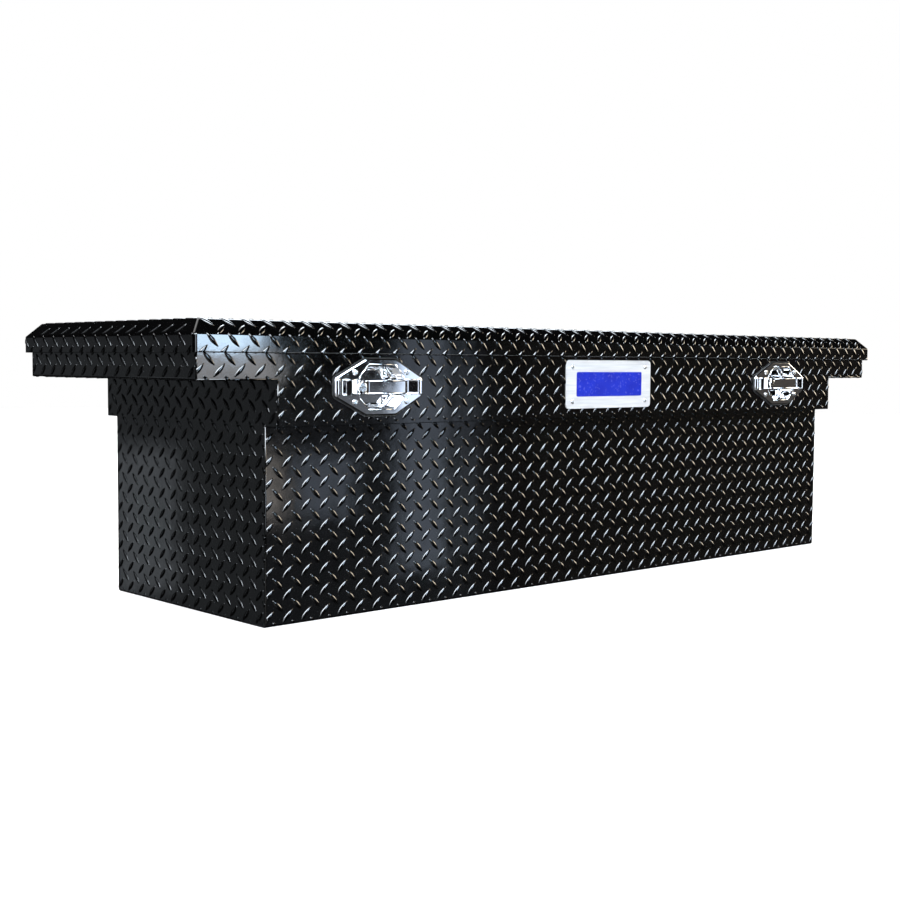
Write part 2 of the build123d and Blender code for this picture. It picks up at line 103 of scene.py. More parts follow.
def spread(material, value, low, high, start=0.3, end=0.7):
    """Maps a noise value onto low to high."""
    node = material.node_tree.nodes.new("ShaderNodeMapRange")
    node.inputs["From Min"].default_value = start
    node.inputs["From Max"].default_value = end
    node.inputs["To Min"].default_value = low
    node.inputs["To Max"].default_value = high
    material.node_tree.links.new(value, node.inputs["Value"])
    return node.outputs["Result"]


def tint(material, value, dark, light, start=0.3, end=0.7):
    """Maps a noise value onto two colours."""
    ramp = material.node_tree.nodes.new("ShaderNodeValToRGB")
    ramp.color_ramp.elements[0].position = start
    ramp.color_ramp.elements[0].color = (*dark, 1)
    ramp.color_ramp.elements[1].position = end
    ramp.color_ramp.elements[1].color = (*light, 1)
    material.node_tree.links.new(value, ramp.inputs["Fac"])
    return ramp.outputs["Color"]


def bumps(material, shader, *layers):
    """Stacks bump layers, each (height, depth in metres, strength)."""
    nodes, links = material.node_tree.nodes, material.node_tree.links
    normal = None
    for height, depth, strength in layers:
        bump = nodes.new("ShaderNodeBump")
        bump.inputs["Distance"].default_value = depth
        bump.inputs["Strength"].default_value = strength
        links.new(height, bump.inputs["Height"])
        if normal is not None:
            links.new(normal, bump.inputs["Normal"])
        normal = bump.outputs["Normal"]
    links.new(normal, shader.inputs["Normal"])


def powder_coat():
    """Gloss black powder coat: orange peel, slow waves of the sheet, and a little dust."""
    m, s = principled("powder_coat", (0.002, 0.002, 0.002), IOR=1.55)
    links = m.node_tree.links
    dust = noise(m, 26, detail=6, roughness=0.65)
    links.new(spread(m, dust, 0.03, 0.085), s.inputs["Roughness"])
    links.new(tint(m, dust, (0.0004, 0.0004, 0.0005), (0.0016, 0.0016, 0.0017)), s.inputs["Base Color"])
    bumps(
        m, s, (noise(m, 6, detail=1), 0.004, 0.10), (noise(m, 24, detail=2), 0.0008, 0.12),
        (noise(m, 420, detail=2), 0.0001, 0.08),
    )
    return m


def rubber():
    m, s = principled("rubber", (0.004, 0.004, 0.004), IOR=1.4)
    links = m.node_tree.links
    grain = noise(m, 900, detail=4)
    links.new(spread(m, grain, 0.55, 0.8), s.inputs["Roughness"])
    links.new(tint(m, noise(m, 40), (0.002, 0.002, 0.002), (0.007, 0.007, 0.0065)), s.inputs["Base Color"])
    bumps(m, s, (grain, 0.0003, 0.3))
    return m


def chrome():
    m, s = principled("chrome", (0.86, 0.87, 0.89), Metallic=1.0)
    links = m.node_tree.links
    haze = noise(m, 60, detail=5)
    links.new(spread(m, haze, 0.02, 0.07), s.inputs["Roughness"])
    links.new(tint(m, haze, (0.8, 0.81, 0.84), (0.9, 0.91, 0.92)), s.inputs["Base Color"])
    bumps(m, s, (noise(m, 30, detail=1), 0.001, 0.03), (noise(m, 900, detail=2), 0.00003, 0.1))
    return m


def brushed(name, dark, light, metallic, low, high, stretch):
    m, s = principled(name, light, Metallic=metallic)
    links = m.node_tree.links
    lines = noise(m, 300, detail=4, stretch=stretch)
    links.new(spread(m, lines, low, high), s.inputs["Roughness"])
    links.new(tint(m, lines, dark, light), s.inputs["Base Color"])
    bumps(m, s, (lines, 0.0001, 0.15))
    return m


def enamel():
    m, s = principled("blue_enamel", (0.009, 0.022, 0.4), Coat_Weight=0.4)
    links = m.node_tree.links
    tone = noise(m, 45, detail=3)
    links.new(tint(m, tone, (0.007, 0.017, 0.34), (0.010, 0.026, 0.44)), s.inputs["Base Color"])
    links.new(spread(m, noise(m, 200), 0.16, 0.3), s.inputs["Roughness"])
    bumps(m, s, (noise(m, 500, detail=2), 0.00008, 0.15))
    return m


def satin_paint(name, dark, light):
    m, s = principled(name, light)
    links = m.node_tree.links
    links.new(tint(m, noise(m, 70, detail=4), dark, light), s.inputs["Base Color"])
    links.new(spread(m, noise(m, 150, detail=4), 0.28, 0.45), s.inputs["Roughness"])
    bumps(m, s, (noise(m, 700, detail=2), 0.0001, 0.2))
    return m


MATERIALS = {
    "black_tread_sheet": powder_coat(),
    "mill_aluminium": brushed(
        "mill_aluminium", (0.5, 0.51, 0.53), (0.68, 0.69, 0.7), 1.0, 0.28, 0.46, (0.04, 1, 1)
    ),
    "seal_rubber": rubber(),
    "brushed_badge": brushed(
        "brushed_badge", (0.52, 0.53, 0.55), (0.66, 0.66, 0.67), 0.15, 0.3, 0.45, (0.05, 1, 1)
    ),
    "blue_panel": enamel(),
    "zinc_steel": brushed("zinc_steel", (0.52, 0.52, 0.53), (0.72, 0.72, 0.72), 1.0, 0.2, 0.36, (1, 1, 1)),
    "hinge_steel": satin_paint("hinge_black", (0.008, 0.008, 0.009), (0.018, 0.018, 0.02)),
    "strut_black": satin_paint("strut_black", (0.006, 0.006, 0.006), (0.014, 0.014, 0.014)),
    "rod_chrome": chrome(),
    "latch_chrome": chrome(),
    "lock_steel": brushed("lock_steel", (0.66, 0.66, 0.66), (0.82, 0.82, 0.82), 1.0, 0.1, 0.22, (1, 1, 1)),
}


def dress_frame():
    """Gives every CAD object the material of its slot."""
    slots = {s["node"]: s["material_slot"] for s in frame["record"]["subparts"]}
    for node, thing in frame["nodes"].items():
        material = MATERIALS[slots[node]]
        if not thing.material_slots:
            thing.data.materials.append(material)
        for slot in thing.material_slots:
            slot.material = material


# --- Mesh helpers ---------------------------------------------------------------------------------
def piece(name, mesh_maker, body, slot, stands_for=()):
    """Turns a bmesh into a piece that rides on a body."""
    mesh = bpy.data.meshes.new(name)
    mesh_maker.to_mesh(mesh)
    mesh_maker.free()
    mesh.materials.append(MATERIALS[slot])
    for polygon in mesh.polygons:
        polygon.use_smooth = True
    thing = bpy.data.objects.new(name, mesh)
    bpy.context.collection.objects.link(thing)
    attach(thing, body)
    if stands_for:
        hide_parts(*stands_for)
    return thing


def fold_points(corners, radius, steps=6):
    """The points of a folded line: each inner corner is rounded by an arc."""
    line = [Vector(corners[0])]
    for before, corner, after in zip(corners, corners[1:], corners[2:]):
        corner = Vector(corner)
        a = (Vector(before) - corner).normalized()
        b = (Vector(after) - corner).normalized()
        half = a.angle(b) / 2
        reach = radius / math.tan(half)
        centre = corner + (a + b).normalized() * radius / math.sin(half)
        start, end = corner + a * reach - centre, corner + b * reach - centre
        sweep = math.pi - 2 * half
        for i in range(steps + 1):
            t = i / steps
            weight_a = math.sin((1 - t) * sweep) / math.sin(sweep)
            weight_b = math.sin(t * sweep) / math.sin(sweep)
            line.append(centre + start * weight_a + end * weight_b)
    line.append(Vector(corners[-1]))
    return line


# --- Tread bars -----------------------------------------------------------------------------------
PITCH_ALONG, PITCH_UP = 35.0 * MM, 33.6 * MM
BAR_LENGTH, BAR_WIDTH, BAR_HEIGHT, BAR_ROOT = 30.0 * MM, 8.4 * MM, 1.5 * MM, 0.35 * MM
BAR_STATIONS = (-1.0, -0.78, -0.42, 0.0, 0.42, 0.78, 1.0)
BAR_PROFILE = ((-1.0, 0.0), (-0.8, 0.5), (-0.42, 0.93), (0.0, 1.0), (0.42, 0.93), (0.8, 0.5), (1.0, 0.0))


def bar_points(lean):
    """Points (u, v, height) of one lens-shaped bar that leans right or left, station by station."""
    rows = []
    direction = Vector((math.sqrt(0.5), lean * math.sqrt(0.5)))
    side = Vector((-direction.y, direction.x))
    for station in BAR_STATIONS:
        width = BAR_WIDTH / 2 * (1 - abs(station) ** 1.9)
        height = BAR_HEIGHT * (1 - abs(station) ** 2.6)
        row = []
        for across, up in BAR_PROFILE:
            flat = direction * station * BAR_LENGTH / 2 + side * across * width
            row.append((flat.x, flat.y, up * height - (BAR_ROOT if up == 0 else 0)))
        rows.append(row)
    return rows


BARS = {lean: bar_points(lean) for lean in (-1, 1)}
BAR_REACH = BAR_LENGTH * 0.36  # half of the run that a diagonal bar covers along an axis


def add_bar(bm, lean, u, v, place):
    """Adds one bar at (u, v), bent onto the face that place maps to."""
    rows = []
    last = len(BAR_STATIONS) - 1
    for i, row in enumerate(BARS[lean]):
        if i in (0, last):
            tip = row[len(row) // 2]
            vertex = bm.verts.new(place(u + tip[0], v + tip[1], -BAR_ROOT))
            rows.append([vertex] * len(row))
        else:
            rows.append([bm.verts.new(place(u + a, v + b, h)) for a, b, h in row])
    for low, high in zip(rows, rows[1:]):
        loop = list(range(len(BAR_PROFILE))) + [0]
        for a, b in zip(loop, loop[1:]):
            corners = []
            for vertex in (low[a], high[a], high[b], low[b]):
                if vertex not in corners:
                    corners.append(vertex)
            if len(corners) > 2:
                bm.faces.new(corners)


def cut(bm, point, outward):
    """Cuts everything beyond a plane off, and closes the cut bars."""
    geometry = bm.verts[:] + bm.edges[:] + bm.faces[:]
    done = bmesh.ops.bisect_plane(
        bm, geom=geometry, dist=1e-7, plane_co=point, plane_no=outward, clear_outer=True
    )
    edges = [e for e in done["geom_cut"] if isinstance(e, bmesh.types.BMEdge)]
    if edges:
        bmesh.ops.edgeloop_fill(bm, edges=edges)


def tread(name, body, place, u_span, v_span, phase, cuts=(), skip=None):
    """Fills a span of sheet with bars. phase is the (u, v) of one right-leaning bar."""
    bm = bmesh.new()
    for lean, shift in ((1, 0.0), (-1, 0.5)):
        start_u = phase[0] + shift * PITCH_ALONG
        start_v = phase[1] + shift * PITCH_UP
        first_u = math.ceil((u_span[0] - BAR_REACH - start_u) / PITCH_ALONG)
        last_u = math.floor((u_span[1] + BAR_REACH - start_u) / PITCH_ALONG)
        first_v = math.ceil((v_span[0] - BAR_REACH - start_v) / PITCH_UP)
        last_v = math.floor((v_span[1] + BAR_REACH - start_v) / PITCH_UP)
        for i in range(first_u, last_u + 1):
            for j in range(first_v, last_v + 1):
                u, v = start_u + i * PITCH_ALONG, start_v + j * PITCH_UP
                if skip is None or not skip(u, v):
                    add_bar(bm, lean, u, v, place)
    for point, outward in cuts:
        cut(bm, Vector(point), Vector(outward))
    bmesh.ops.recalc_face_normals(bm, faces=bm.faces[:])
    return piece(name, bm, body, "black_tread_sheet")


def flat(origin, u_axis, v_axis):
    """Maps (u, v, height) onto a flat face; u cross v is the outward normal."""
    origin, u_axis, v_axis = Vector(origin), Vector(u_axis), Vector(v_axis)
    outward = u_axis.cross(v_axis)
    return lambda u, v, h: origin + u_axis * u + v_axis * v + outward * h


def edges_of(place, u_span, v_span, inset=0.0006):
    """The four cutting planes round a flat face."""
    origin = place(0, 0, 0)
    u_axis, v_axis = place(1, 0, 0) - origin, place(0, 1, 0) - origin
    return [
        (place(u_span[0] + inset, 0, 0), -u_axis),
        (place(u_span[1] - inset, 0, 0), u_axis),
        (place(0, v_span[0] + inset, 0), -v_axis),
        (place(0, v_span[1] - inset, 0), v_axis),
    ]


# Sizes that the frame gives, and the fold heights and depths that its boxes don't show.
tub_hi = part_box("tub_shell")[1]
front_lo, front_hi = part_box("front_panel")
wing_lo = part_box("left_saddle")[0]
lid_lo, lid_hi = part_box("lid_skin")
TUB_X, WING_X, LID_X = tub_hi.x, front_hi.x, lid_hi.x
LOWER_Y, UPPER_Y, LID_Y = 0.222, -front_lo.y, lid_hi.y
STEP_Z, RAIL_Z = 0.303, wing_lo.z
LIP_Z, BROW_Z, TOP_Z = lid_lo.z, 0.437, lid_hi.z
BEVEL_RUN = 0.020
SHEET = 1.6 * MM
FRONT_PHASE = (-0.873, 0.386)
LOWER_SHIFT = 2.7 * MM
EDGE_GAP, FOLD_GAP = 1.0 * MM, 3.0 * MM
BACK_TOP = 0.3755
LIP_OVERLAP = 4.0 * MM

LATCH_CENTRES, LATCH_Z = (-0.545, 0.545), 0.3605
BEZEL_HALF, BEZEL_FLAT, BEZEL_LIMIT = (0.086, 0.0435), (0.030, 0.0145), (0.084, 0.0415)
TAIL_LIMIT = (0.094, 0.0155)
BADGE_LIMIT = (0.105, 0.032)
RAIL_BOLT_Y, BOLT_CLEAR = 0.165, 0.014


def under_fitting(u, v):
    """True where a bar would show through a latch or stand behind the badge."""
    z = abs(v - LATCH_Z)
    for centre in LATCH_CENTRES:
        x = abs(u - centre)
        slope_x = (x - BEZEL_FLAT[0]) / (BEZEL_HALF[0] - BEZEL_FLAT[0])
        slope_z = (z - BEZEL_FLAT[1]) / (BEZEL_HALF[1] - BEZEL_FLAT[1])
        if x < BEZEL_LIMIT[0] and z < BEZEL_LIMIT[1] and slope_x + slope_z < 0.97:
            return True
        if x < TAIL_LIMIT[0] and z < TAIL_LIMIT[1]:
            return True
    return abs(u) < BADGE_LIMIT[0] and z < BADGE_LIMIT[1]


def dress_walls():
    """Bars on the long walls: the lower wall, the upper panel and the wings' faces."""
    lower_phase = (FRONT_PHASE[0], FRONT_PHASE[1] - 3 * PITCH_UP - LOWER_SHIFT)
    for name, sign in (("front", -1), ("rear", 1)):
        lower = flat((0, sign * LOWER_Y, 0), (-sign, 0, 0), (0, 0, 1))
        span_u, span_v = (-TUB_X, TUB_X), (FOLD_GAP, STEP_Z - 2 * EDGE_GAP)
        planes = edges_of(lower, span_u, span_v)
        tread(f"tread_{name}_lower", "tub", lower, span_u, span_v, lower_phase, planes)
        upper = flat((0, sign * UPPER_Y, 0), (-sign, 0, 0), (0, 0, 1))
        top = LIP_Z + LIP_OVERLAP if sign < 0 else BACK_TOP
        skip = under_fitting if sign < 0 else None
        span_v = (STEP_Z + FOLD_GAP, top)
        planes = edges_of(upper, span_u, span_v)
        tread(f"tread_{name}_upper", "tub", upper, span_u, span_v, FRONT_PHASE, planes, skip)
        span_v = (RAIL_Z + EDGE_GAP, top)
        for side, span_u in (("left", (-WING_X, -TUB_X)), ("right", (TUB_X, WING_X))):
            planes = edges_of(upper, span_u, span_v, 0.0)
            tread(f"tread_{name}_wing_{side}", "tub", upper, span_u, span_v, FRONT_PHASE, planes, skip)


def dress_ends():
    """Bars on the end walls, the wings' ends and the wings' undersides."""
    inner_y = UPPER_Y - SHEET
    bolt_x = (TUB_X + WING_X) / 2

    def at_bolt(u, v):
        return abs(abs(u) - RAIL_BOLT_Y) < BOLT_CLEAR and abs(abs(v) - bolt_x) < BOLT_CLEAR

    for name, sign in (("left", -1), ("right", 1)):
        wall = flat((sign * TUB_X, 0, 0), (0, sign, 0), (0, 0, 1))
        phase = (0.004 * sign, 0.0132)
        wing = flat((sign * WING_X, 0, 0), (0, sign, 0), (0, 0, 1))
        faces = (
            ("end_lower", wall, LOWER_Y, (FOLD_GAP, STEP_Z)),
            ("end_upper", wall, inner_y, (STEP_Z, RAIL_Z)),
            ("wing_end", wing, inner_y, (RAIL_Z + FOLD_GAP, LIP_Z + LIP_OVERLAP)),
        )
        for label, face, reach, span_v in faces:
            span_u = (-reach, reach)
            planes = edges_of(face, span_u, span_v)
            tread(f"tread_{name}_{label}", "tub", face, span_u, span_v, phase, planes)
        under = flat((0, 0, RAIL_Z), (0, 1, 0), (1, 0, 0))
        span_u = (-inner_y, inner_y)
        span_v = (TUB_X, WING_X - FOLD_GAP) if sign > 0 else (-WING_X + FOLD_GAP, -TUB_X)
        planes = edges_of(under, span_u, span_v)
        tread(f"tread_{name}_wing_under", "tub", under, span_u, span_v, (0.0, 0.0), planes, at_bolt)


# --- Lid skin, formed with rounded folds ----------------------------------------------------------
FOLD_RADIUS, LID_CORNER = 4.0 * MM, 5.0 * MM
HOLD = 0.6 * MM
HEM_ROUNDING, HEM_CUT = 0.35 * MM, 0.5 * MM
TOP_MARGIN = 30.0 * MM
FRONT_RUN, END_RUN = 54.5 * MM, 40.0 * MM
LID_PHASE, LID_END_PHASE = (FRONT_PHASE[0], 0.001), (0.004, 0.001)


def lid_line():
    """The lid's folded line in (depth, z) from its front lip over the top to its back lip."""
    half = [
        (-LID_Y, LIP_Z),
        (-LID_Y, BROW_Z),
        (-LID_Y + BEVEL_RUN, TOP_Z),
    ]
    mirrored = [(-y, z) for y, z in reversed(half)]
    return fold_points(half + mirrored, FOLD_RADIUS)


class Folded:
    """Maps (u, v, height) onto a folded line swept along one axis; v is the length along the line."""

    def __init__(self, line, to_world):
        self.line, self.to_world = line, to_world
        runs = [(b - a).normalized() for a, b in zip(line, line[1:])]
        self.marks = [0.0]
        for a, b in zip(line, line[1:]):
            self.marks.append(self.marks[-1] + (b - a).length)
        self.normals = []
        for before, after in zip(runs[:1] + runs, runs + runs[-1:]):
            run = before + after
            self.normals.append(Vector((-run.y, run.x)).normalized())

    def __call__(self, u, v, h):
        last = len(self.line) - 2
        i = 0
        while i < last and self.marks[i + 1] < v:
            i += 1
        t = (v - self.marks[i]) / (self.marks[i + 1] - self.marks[i])
        point = self.line[i].lerp(self.line[i + 1], t)
        normal = self.normals[i].lerp(self.normals[i + 1], min(max(t, 0), 1)).normalized()
        return self.to_world(u, point + normal * h)


def ring(bm, inset, z, corner, steps=8):
    """A rounded rectangle of vertices at a height."""
    x, y = LID_X - inset, LID_Y - inset
    vertices = []
    for quarter, (sx, sy) in enumerate(((1, 1), (-1, 1), (-1, -1), (1, -1))):
        centre = Vector((sx * (x - corner), sy * (y - corner), z))
        for i in range(steps + 1):
            angle = math.pi / 2 * (quarter + i / steps)
            arc = Vector((math.cos(angle), math.sin(angle), 0)) * corner
            along = Vector((math.sin(angle), -math.cos(angle), 0)) * HOLD
            if i == 0:
                vertices.append(bm.verts.new(centre + arc + along))
            vertices.append(bm.verts.new(centre + arc))
            if i == steps:
                vertices.append(bm.verts.new(centre + arc - along))
    return vertices


def held(line):
    """Adds a point close to each end of every long run, so that the flats shade flat."""
    points = [line[0]]
    for a, b in zip(line, line[1:]):
        if (b - a).length > 4 * HOLD:
            step = (b - a).normalized() * HOLD
            points += [a + step, b - step]
        points.append(b)
    return points


def lid_skin():
    """The lid's skin as one formed sheet, with its inner face and hem."""
    profile = [(0, LIP_Z), (0, BROW_Z), (BEVEL_RUN, TOP_Z), (BEVEL_RUN + TOP_MARGIN, TOP_Z)]
    outer = fold_points(profile, FOLD_RADIUS)
    inner = fold_points(
        [
            (SHEET, LIP_Z),
            (SHEET, BROW_Z - 0.4 * SHEET),
            (BEVEL_RUN + 0.44 * SHEET, TOP_Z - SHEET),
            (BEVEL_RUN + TOP_MARGIN, TOP_Z - SHEET),
        ],
        FOLD_RADIUS - SHEET,
    )
    hem = [(HEM_ROUNDING, LIP_Z), (0, LIP_Z + HEM_ROUNDING)]
    bm = bmesh.new()
    path = held([Vector(p) for p in list(reversed(inner)) + hem + outer[1:]])
    rings = [ring(bm, inset, z, LID_CORNER) for inset, z in path]
    for low, high in zip(rings, rings[1:]):
        count = len(low)
        for i in range(count):
            bm.faces.new((low[i], low[(i + 1) % count], high[(i + 1) % count], high[i]))
    bm.faces.new(rings[-1])
    bm.faces.new(list(reversed(rings[0])))
    bmesh.ops.recalc_face_normals(bm, faces=bm.faces[:])
    piece("lid_skin_formed", bm, "lid", "black_tread_sheet", stands_for=("lid_skin",))


def dress_lid():
    """Bars on the lid's front, top and back, each in three lengths."""
    over = Folded(lid_line(), lambda u, p: Vector((u, p.x, p.y)))
    total = over.marks[-1]

    def off_corner(u, v):
        spot = over(u, v, 0)
        in_x, in_y = LID_X - abs(spot.x), LID_Y - abs(spot.y)
        return spot.z > BROW_Z and in_x < BEVEL_RUN + 0.009 and in_y < BEVEL_RUN + 0.004

    sections = (
        ("front", LID_X - LID_CORNER, (0.0, FRONT_RUN - BAR_REACH)),
        ("top", LID_X - BEVEL_RUN - 2 * EDGE_GAP, (FRONT_RUN + BAR_REACH, total - FRONT_RUN - BAR_REACH)),
        ("back", LID_X - LID_CORNER, (total - FRONT_RUN + BAR_REACH, total)),
    )
    for label, reach, span_v in sections:
        bounds = (-reach, -LID_X / 3, LID_X / 3, reach)
        for k in range(3):
            low = bounds[k] if k == 0 else bounds[k] + BAR_REACH
            high = bounds[k + 1] if k == 2 else bounds[k + 1] - BAR_REACH
            planes = []
            if k == 0:
                planes.append(((-reach, 0, 0), (-1, 0, 0)))
            if k == 2:
                planes.append(((reach, 0, 0), (1, 0, 0)))
            if label != "top":
                planes.append(((0, 0, LIP_Z + HEM_CUT), (0, 0, -1)))
            name = f"tread_lid_{label}_{k + 1}"
            tread(name, "lid", over, (low, high), span_v, LID_PHASE, planes, off_corner)


def dress_lid_ends():
    """Bars on the lid's end lips and end slopes."""
    reach = LID_Y - LID_CORNER
    planes = [
        ((0, -reach, 0), (0, -1, 0)),
        ((0, reach, 0), (0, 1, 0)),
        ((0, 0, LIP_Z + HEM_CUT), (0, 0, -1)),
    ]
    for name, sign in (("left", -1), ("right", 1)):
        corners = [
            (sign * LID_X, LIP_Z),
            (sign * LID_X, BROW_Z),
            (sign * (LID_X - BEVEL_RUN), TOP_Z),
            (sign * (LID_X - BEVEL_RUN - TOP_MARGIN), TOP_Z),
        ]
        line = fold_points(corners, FOLD_RADIUS)
        around = Folded(line, lambda u, p, sign=sign: Vector((p.x, sign * u, p.y)))
        around.normals = [n if n.x * sign >= 0 and n.y >= -1e-6 else -n for n in around.normals]

        def off_corner(u, v, around=around):
            spot = around(u, v, 0)
            return spot.z > BROW_Z and LID_Y - abs(spot.y) < BEVEL_RUN + 0.006

        tread(
            f"tread_lid_end_{name}", "lid", around, (-reach, reach), (0.0, END_RUN), LID_END_PHASE,
            planes, off_corner,
        )


# --- Beads along the corner seams, and a painted shadow line under the lid's lip ------------------
def bead(name, body, runs, radius=1.5 * MM, sides=8, slot="black_tread_sheet"):
    """Round beads along straight runs from a to b: weld-finished seams, rolled chrome edges, and one
    near-black line of painted shade.
    """
    bm = bmesh.new()
    for a, b in runs:
        a, b = Vector(a), Vector(b)
        turn = (b - a).to_track_quat("Z", "X").to_matrix().to_4x4()
        ends = []
        for point, scale in ((a, 0.35), (a.lerp(b, 0.004), 1.0), (b.lerp(a, 0.004), 1.0), (b, 0.35)):
            loop = []
            for i in range(sides):
                angle = 2 * math.pi * i / sides
                offset = Vector((math.cos(angle), math.sin(angle), 0)) * radius * scale
                loop.append(bm.verts.new(point + turn @ offset))
            ends.append(loop)
        for low, high in zip(ends, ends[1:]):
            for i in range(sides):
                j = (i + 1) % sides
                bm.faces.new((low[i], low[j], high[j], high[i]))
        bm.faces.new(list(reversed(ends[0])))
        bm.faces.new(ends[-1])
    piece(name, bm, body, slot)


def dress_seams():
    tuck = 0.9 * MM
    for name, side in (("left", -1), ("right", 1)):
        runs = []
        x, wx = side * (TUB_X - tuck), side * (WING_X - tuck)
        for back in (-1, 1):
            low, high = back * (LOWER_Y - tuck), back * (UPPER_Y - tuck)
            runs.append(((x, low, 0.002), (x, low, STEP_Z)))
            runs.append(((x, high, STEP_Z + 0.001), (x, high, RAIL_Z - 0.001)))
            runs.append(((wx, high, RAIL_Z + 0.001), (wx, high, LIP_Z + 0.006)))
            runs.append(((x, high, RAIL_Z + tuck), (wx, high, RAIL_Z + tuck)))
        runs.append(((x, -LOWER_Y + 0.002, tuck), (x, LOWER_Y - 0.002, tuck)))
        bead(f"seam_{name}", "tub", runs)
    # The rubber bead under the lid's front and back lips is painted shade: a near-black line that stands
    # in for the shadow in the gap between the lip and the panel below it.
    reach, depth, hem = LID_X - LID_CORNER, LID_Y - tuck, 1.1 * MM
    painted_shadow_runs = [((-reach, y, LIP_Z + hem), (reach, y, LIP_Z + hem)) for y in (-depth, depth)]
    bead("lid_painted_shadow_line", "lid", painted_shadow_runs, hem, slot="seal_rubber")


# --- Rolled edges of the latches ------------------------------------------------------------------
PLATE_Y, BAR_Y, BOSS_Y = -4.5, -12.2, -16.2
POCKET_RIM = ((-43, 12.5), (-43, 16), (-25, 35), (29, 35), (47, 16), (47, 12.5))
CHANNEL_RIM = (((-76, 11.5), (-43, 11.5)), ((47, 11.5), (74, 11.5)))
BAR_EDGE = ((-64, -11.6), (-55, BOSS_Y), (-41, BOSS_Y), (-30, BAR_Y), (42, BAR_Y))
BAR_HALF, LOCK_CENTRE, LOCK_RING = 9.5, -48, 8.6


def dress_latches():
    """Rolled chrome edges round each pocket and channel, along the pull bar and round its lock."""
    for side, centre in zip(("left", "right"), LATCH_CENTRES):
        def at(u, y, v, centre=centre):
            return (centre + u * MM, front_lo.y + y * MM, LATCH_Z + v * MM)

        rim, edge = [], []
        for up in (-1, 1):
            for a, b in list(zip(POCKET_RIM, POCKET_RIM[1:])) + list(CHANNEL_RIM):
                rim.append((at(a[0], PLATE_Y, up * a[1]), at(b[0], PLATE_Y, up * b[1])))
            for a, b in zip(BAR_EDGE, BAR_EDGE[1:]):
                edge.append((at(a[0], a[1], up * BAR_HALF), at(b[0], b[1], up * BAR_HALF)))
        steps = 24
        turns = [2 * math.pi * i / steps for i in range(steps + 1)]
        circle = [
            at(LOCK_CENTRE + LOCK_RING * math.cos(t), BOSS_Y, LOCK_RING * math.sin(t)) for t in turns
        ]
        edge += list(zip(circle, circle[1:]))
        bead(f"{side}_latch_rim", "tub", rim, 0.7 * MM, slot="latch_chrome")
        bead(f"{side}_latch_bar_edge", f"{side}_latch_paddle", edge, 1.0 * MM, slot="latch_chrome")


# --- Stage, lights and world ----------------------------------------------------------------------
def make_stage():
    """A plain pale floor just under the box, kept out of reflections."""
    m, s = principled("pale_floor", (0.9, 0.9, 0.9))
    s.inputs["Roughness"].default_value = 0.9
    s.inputs["Emission Color"].default_value = (1, 1, 1, 1)
    s.inputs["Emission Strength"].default_value = 0.72
    bm = bmesh.new()
    bmesh.ops.create_circle(bm, cap_ends=True, segments=96, radius=9.0)
    mesh = bpy.data.meshes.new("floor")
    bm.to_mesh(mesh)
    bm.free()
    mesh.materials.append(m)
    floor = bpy.data.objects.new("floor", mesh)
    floor.location = (0, 0, -0.0006)
    floor.visible_glossy = False
    bpy.context.collection.objects.link(floor)


def area_light(name, place, size, power, colour):
    """A lamp aimed at the box's middle that lights matt surfaces and isn't mirrored."""
    data = bpy.data.lights.new(name, "AREA")
    data.shape = "RECTANGLE"
    data.size, data.size_y = size
    data.energy = power
    data.color = colour
    lamp = bpy.data.objects.new(name, data)
    lamp.location = place
    aim = Vector((0, 0, 0.25)) - Vector(place)
    lamp.rotation_mode = "QUATERNION"
    lamp.rotation_quaternion = aim.to_track_quat("-Z", "Y")
    lamp.visible_camera = False
    lamp.visible_glossy = False
    bpy.context.collection.objects.link(lamp)


